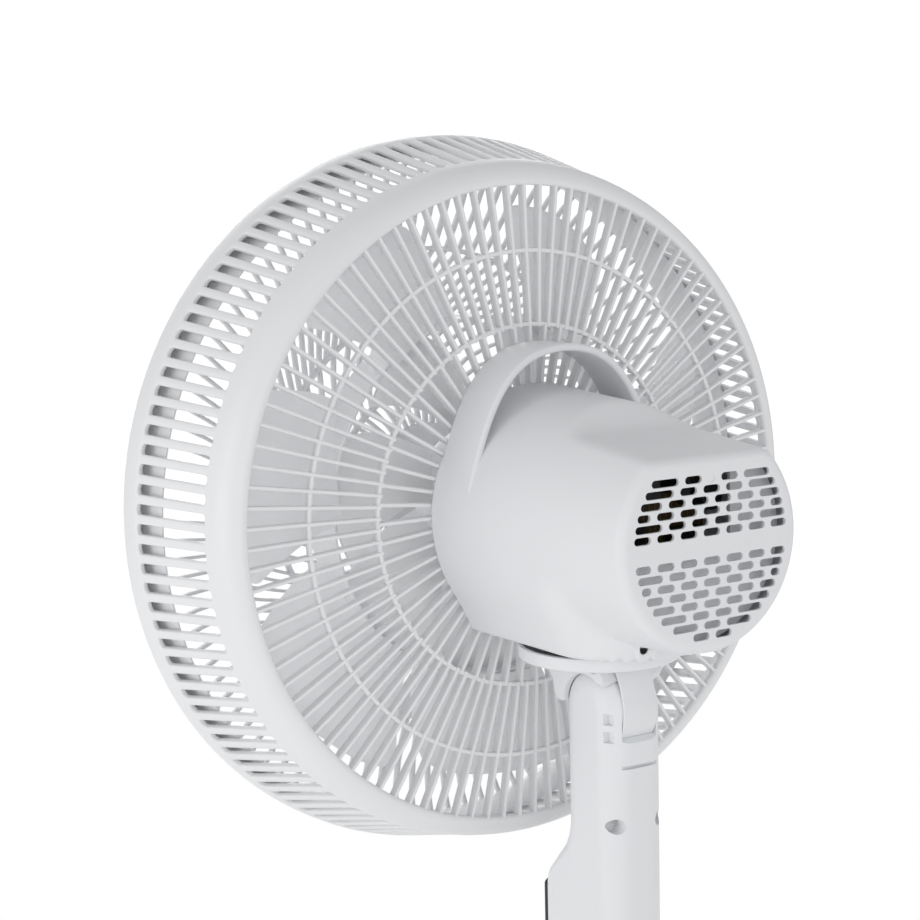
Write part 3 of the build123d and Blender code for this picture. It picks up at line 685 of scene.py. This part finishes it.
def make_cover():
    build = Build()
    outer = cover_rings(0.0, cover_stations(0.0))
    inner = cover_rings(COVER_WALL, cover_stations(COVER_WALL))
    build.loft(place(inner[::-1] + outer))
    cover = build.piece("motor_housing", "shell_white", "head", replaces=["motor_cover"])
    vents = Build()
    for up, row in vent_rows():
        for x0, x1 in row:
            slot_prism(vents, (x0 + x1) / 2, up, x1 - x0, SLOT_HIGH, REAR_B - 6, REAR_B + 4)
    count = 96
    throat = [[(40 * cos(2 * pi * k / count), 66 + 40 * sin(2 * pi * k / count), up) for k in range(count)]
              for up in (-76, -56)]
    vents.loft(place(throat))
    for x, back in ((19.0, 130.0), (9.8, 134.5), (2.0, 139.5)):
        hole = [(x + u, back + v) for u, v in rounded(5.6, 8.0, 1.4)]
        vents.loft(place([[(u, v, up) for u, v in hole] for up in (-72.0, -56.5)]))
    mark = [[(2.3 * cos(2 * pi * k / 24), back, 33.0 + 2.3 * sin(2 * pi * k / 24)) for k in range(24)]
            for back in (REAR_B - 0.35, REAR_B + 4)]
    vents.loft(place(mark))
    cut(cover, vents.piece("cutter", "shell_white", "head"))
    baffle = Build()
    edge = [(-23.0, -3.0), (-23.0, 38.0), (-41.0, 38.0)]
    edge += [(56.4 * cos(a), 56.4 * sin(a)) for a in np.linspace(radians(138), radians(357), 40)]
    baffle.loft(place([[(x, back, up) for x, up in edge] for back in (147.0, 149.0)]))
    baffle.piece("cover_baffle", "shell_white", "head")
    handle = Build()
    outline = rounded(33.0, 4.4, 2.0, 4)
    half = []
    for t in np.linspace(0.0, 1.0, 31):
        weights = ((1 - t) ** 3, 3 * t * (1 - t) ** 2, 3 * t * t * (1 - t), t ** 3)
        half.append(sum(w * np.array(p) for w, p in zip(weights, HANDLE_CURVE)))
    curve = np.array(half + [(-x, up) for x, up in half[-2::-1]])
    along = np.gradient(curve, axis=0)
    rings = []
    for (x, up), (dx, dup) in zip(curve, along / np.linalg.norm(along, axis=1)[:, None]):
        out = np.array([dup, 0.0, -dx])
        centre = np.array([x, 20.6, up]) - 2.2 * out
        rings.append([centre + u * np.array([0, 1.0, 0]) + v * out for u, v in outline])
    handle.loft(place(rings))
    handle.piece("cover_handle", "shell_white", "head")


make_rear_guard()
make_front_guard()
make_impeller()
make_cover()


# ---------------------------------------------------------------- neck, tilt arm and cover strip
PIVOT = np.array([0.0, 76.0, -104.0])
NECK_HALF, NECK_DEEP, NECK_ROUND = 20.2, 24.6, 15.5
STRIP_HALF = 11.5


def half_profile(deep, corner, grow=0.0):
    """Half of the neck's outline, from the +X side over the face to the -X side: (x, distance) pairs."""
    side = NECK_HALF + grow
    deep += grow
    points = [(side, 0.0), (side, (deep - corner) * 0.5)]
    for a in np.linspace(0.0, pi / 2, 13):
        points.append((side - corner + corner * cos(a), deep - corner + corner * sin(a)))
    points.append(((side - corner) * 0.5, deep))
    return points + [(0.0, deep)] + [(-x, d) for x, d in points[::-1]]


def about_pivot(points):
    """(x, back, up) points measured from the tilt axis."""
    return place(np.asarray(points, float) + PIVOT)


def add_box(build, low, high):
    (x0, y0, z0), (x1, y1, z1) = low, high
    build.loft(about_pivot([[(x0, y, z0), (x1, y, z0), (x1, y, z1), (x0, y, z1)] for y in (y0, y1)]))


def add_hole(build, x, up, radius, depth, count=32):
    """Round hole's cutter, from behind the neck to the given back."""
    turns = [2 * pi * k / count for k in range(count)]
    outline = [(x + radius * cos(a), up + radius * sin(a)) for a in turns]
    build.loft(about_pivot([[(u, back, v) for u, v in outline] for back in (depth, 28.0)]))


def side_shape(build, outline, x0, x1):
    """Prism of a (back, up) outline across X."""
    build.loft(about_pivot([[(x, b, u) for b, u in outline] for x in (x0, x1)]))


def sector(r0, r1, start, stop, count=24):
    """Part of a ring about the tilt axis, angles from the back upwards."""
    turns = [radians(start + (stop - start) * k / count) for k in range(count + 1)]
    return [(r0 * cos(a), r0 * sin(a)) for a in turns] + [(r1 * cos(a), r1 * sin(a)) for a in turns[::-1]]


def make_neck():
    build = Build()
    rings = []
    stations = (-256.0, -255.4, -250, -230, -200, -170, -150, -130, *range(-112, -69, 3), -60, -40, -20, 0.0)
    for up in stations:
        flare = float(np.interp(up, [-112, -104, -95, -85, -78, -70], [1.0, 0.93, 0.60, 0.22, 0.07, 0.0]))
        corner = NECK_ROUND - 11.5 * flare
        foot = 0.6 if up == stations[0] else 0.0
        rear = [(x, d, up) for x, d in half_profile(NECK_DEEP, NECK_ROUND, -foot)]
        front = [(x, -d, up) for x, d in half_profile(NECK_DEEP + 16.4 * flare, corner, -foot)]
        rings.append(rear + front[-2:0:-1])
    build.loft(about_pivot(rings), caps=False)
    half = len(half_profile(NECK_DEEP, NECK_ROUND))
    build.add(about_pivot(rings[0]), [tuple(range(len(rings[0]) - 1, -1, -1))])
    dome = []
    for a in np.linspace(0.0, pi, 33):
        dome.append([(x, d * cos(a), d * sin(a)) for x, d in half_profile(NECK_DEEP, NECK_ROUND)])
    verts = np.asarray(dome)
    faces = [(i * half + k, i * half + k + 1, (i + 1) * half + k + 1, (i + 1) * half + k)
             for i in range(len(dome) - 1) for k in range(half - 1)]
    build.add(about_pivot(verts), faces)
    neck = build.piece("neck_housing", "shell_white", "column",
                       replaces=["neck_rear_shell", "neck_front_shell"], merge=0.01)
    tool = Build()
    side_shape(tool, sector(23.0, 30.0, -34, 128), -STRIP_HALF - 0.4, STRIP_HALF + 0.4)
    cut(neck, tool.piece("cutter", "shell_white", "column"))
    tool = Build()
    side_shape(tool, sector(22.9, 25.1, -80, -33), -STRIP_HALF - 0.4, STRIP_HALF + 0.4)
    add_box(tool, (-12.2, 22.0, -31.2), (12.2, 27.0, -29.2))
    for side in (-1, 1):
        x0, x1 = sorted((side * 15.4, side * 26.0))
        for low in (-6.2, -16.2):
            add_box(tool, (x0, 15.0, low), (x1, 25.5, low + 6.4))
        for up in (-63.5, -146.0):
            add_hole(tool, side * 14.6, up, 4.3, 13.0)
    add_hole(tool, 0.0, -244.0, 3.5, 10.0)
    cut(neck, tool.piece("cutter", "shell_white", "column"))
    lens = Build()
    outline = rounded(128.6, 2 * NECK_HALF - 0.6, 3.0, 6)
    rings = [[(x * share, back, -173.5 + up * share) for up, x in outline]
             for back, share in ((-36.4, 1.008), (-40.6, 1.008), (-41.3, 1.0), (-41.5, 0.985))]
    lens.loft(about_pivot(rings))
    lens.piece("panel_glass", "panel_black", "column", replaces=["panel_lens"])


def make_arm():
    build = Build()
    tray = [(0.0, 26.0), (44.6, 26.0), (45.6, 26.6), (46.0, 27.6), (46.0, 32.6), (45.7, 33.4), (45.0, 33.6),
            (43.4, 33.6), (43.0, 33.0), (43.0, 29.2), (42.6, 28.8), (0.0, 28.8)]
    rings = []
    for k in range(120):
        a = 2 * pi * k / 120
        rings.append([(r * cos(a), -12.0 + r * sin(a), up) for r, up in tray])
    build.loft(about_pivot(rings), closed=True)
    arm = build.piece("arm_tray", "shell_white", "arm", replaces=["tilt_arm"], merge=0.01)
    tool = Build()
    tool.loft(about_pivot([[(5.05 * cos(2 * pi * k / 40), -12.0 + 5.05 * sin(2 * pi * k / 40), up)
                            for k in range(40)] for up in (20.0, 40.0)]))
    cut(arm, tool.piece("cutter", "shell_white", "arm"))
    web = Build()
    outline = [(-56, 27.0), (-56, 24.0), (-49, 21.7), (-43, 17.8), (-33, 16.4),
               (-29.4, 12.6), (-27.6, 4.0), (-25.9, 1.6), (-23.0, 1.0)]
    outline += [(20.0 * cos(a), 20.0 * sin(a)) for a in np.linspace(radians(177), radians(46), 22)]
    outline += [(17.6, 18.4), (14.6, 22.4), (12.4, 27.0)]
    side_shape(web, outline, -20.2, 20.2)
    arm_web = web.piece("arm_web", "shell_white", "arm")
    tool = Build()
    turned = []
    clear = half_profile(NECK_DEEP, NECK_ROUND, 0.35)
    for k in range(96):
        a = 2 * pi * k / 96
        turned.append([(x, d * cos(a), d * sin(a)) for x, d in clear[1:-1]])
    tool.loft(about_pivot(turned), closed=True)
    ends = np.asarray(turned)
    for index in (0, -1):
        tool.add(about_pivot(ends[:, index]), [tuple(range(96))])
    cut(arm_web, tool.piece("cutter", "shell_white", "arm", merge=0.01))
    tool = Build()
    for side in (-1, 1):
        x0, x1 = sorted((side * 18.2, side * 24.0))
        for back in (-20.4, -9.6, 1.2):
            add_box(tool, (x0, back, 21.6), (x1, back + 8.6, 25.2))
        for k, back in enumerate((-4.0, 1.2, 6.4, 11.0)):
            rise = 19.6 - 0.9 * k
            add_box(tool, (x0, back, rise - 4.4 - 0.8 * k), (x1, back + 3.4, rise))
    cut(arm_web, tool.piece("cutter", "shell_white", "arm"))
    strip = Build()
    path = [(24.1 * cos(a), 24.1 * sin(a)) for a in np.linspace(radians(-48), radians(20), 20)]
    path += [(22.2, 11.4), (21.0, 15.4), (19.0, 19.4), (16.6, 23.4), (15.0, 26.6), (14.6, 28.7)]
    path = np.array(path)
    along = np.gradient(path, axis=0)
    along /= np.linalg.norm(along, axis=1)[:, None]
    section = rounded(2 * STRIP_HALF, 1.6, 0.5)
    rings = [[(u, b + v * db, up - v * dup) for u, v in section]
             for (b, up), (dup, db) in zip(path, along)]
    strip.loft(about_pivot(rings))
    strip.piece("arm_strip", "shell_white", "arm", replaces=["tilt_strip"])


make_neck()
make_arm()


# ---------------------------------------------------------------- carried-over CAD pieces
def soften(node_name, width, sharp=32.0):
    """Small rounded edges on a CAD piece, by modifiers only."""
    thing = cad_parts[node_name]
    weld = thing.modifiers.new("weld", "WELD")
    weld.merge_threshold = 0.000005
    bevel = thing.modifiers.new("bevel", "BEVEL")
    bevel.width = width * MM
    bevel.segments = 2
    bevel.limit_method = "ANGLE"
    bevel.angle_limit = radians(sharp)
    bevel.harden_normals = False


for shell in ("height_collar", "base_cover"):
    soften(shell, 0.8)


# ---------------------------------------------------------------- floor
def add_floor():
    paint = Paint("studio_floor", (0.93, 0.93, 0.93), 0.85)
    paint.mottle(paint.noise(14.0, 2.0), 0.004)
    paint.roughen(paint.noise(60.0), 0.05)
    paint.bump(paint.noise(40.0, 4.0), 0.35, 0.0001)
    nodes, links = paint.tree.nodes, paint.tree.links
    length = nodes.new("ShaderNodeVectorMath")
    length.operation = "LENGTH"
    far = nodes.new("ShaderNodeMapRange")
    far.inputs["From Min"].default_value = 0.7
    far.inputs["From Max"].default_value = 2.0
    glow = nodes.new("ShaderNodeEmission")
    glow.inputs["Color"].default_value = (1.0, 1.0, 1.0, 1.0)
    glow.inputs["Strength"].default_value = 1.0
    mix = nodes.new("ShaderNodeMixShader")
    links.new(paint.coords, length.inputs[0])
    links.new(length.outputs["Value"], far.inputs["Value"])
    links.new(far.outputs["Result"], mix.inputs["Fac"])
    links.new(paint.shader.outputs["BSDF"], mix.inputs[1])
    links.new(glow.outputs["Emission"], mix.inputs[2])
    links.new(mix.outputs["Shader"], nodes["Material Output"].inputs["Surface"])
    mesh = bpy.data.meshes.new("floor")
    bm = bmesh.new()
    bmesh.ops.create_circle(bm, cap_ends=True, segments=128, radius=4.0)
    bm.to_mesh(mesh)
    bm.free()
    mesh.materials.append(paint.material)
    floor = bpy.data.objects.new("floor", mesh)
    floor.location = (0.0, 0.0, -0.0005)
    bpy.context.scene.collection.objects.link(floor)


add_floor()

bpy.context.view_layer.update()
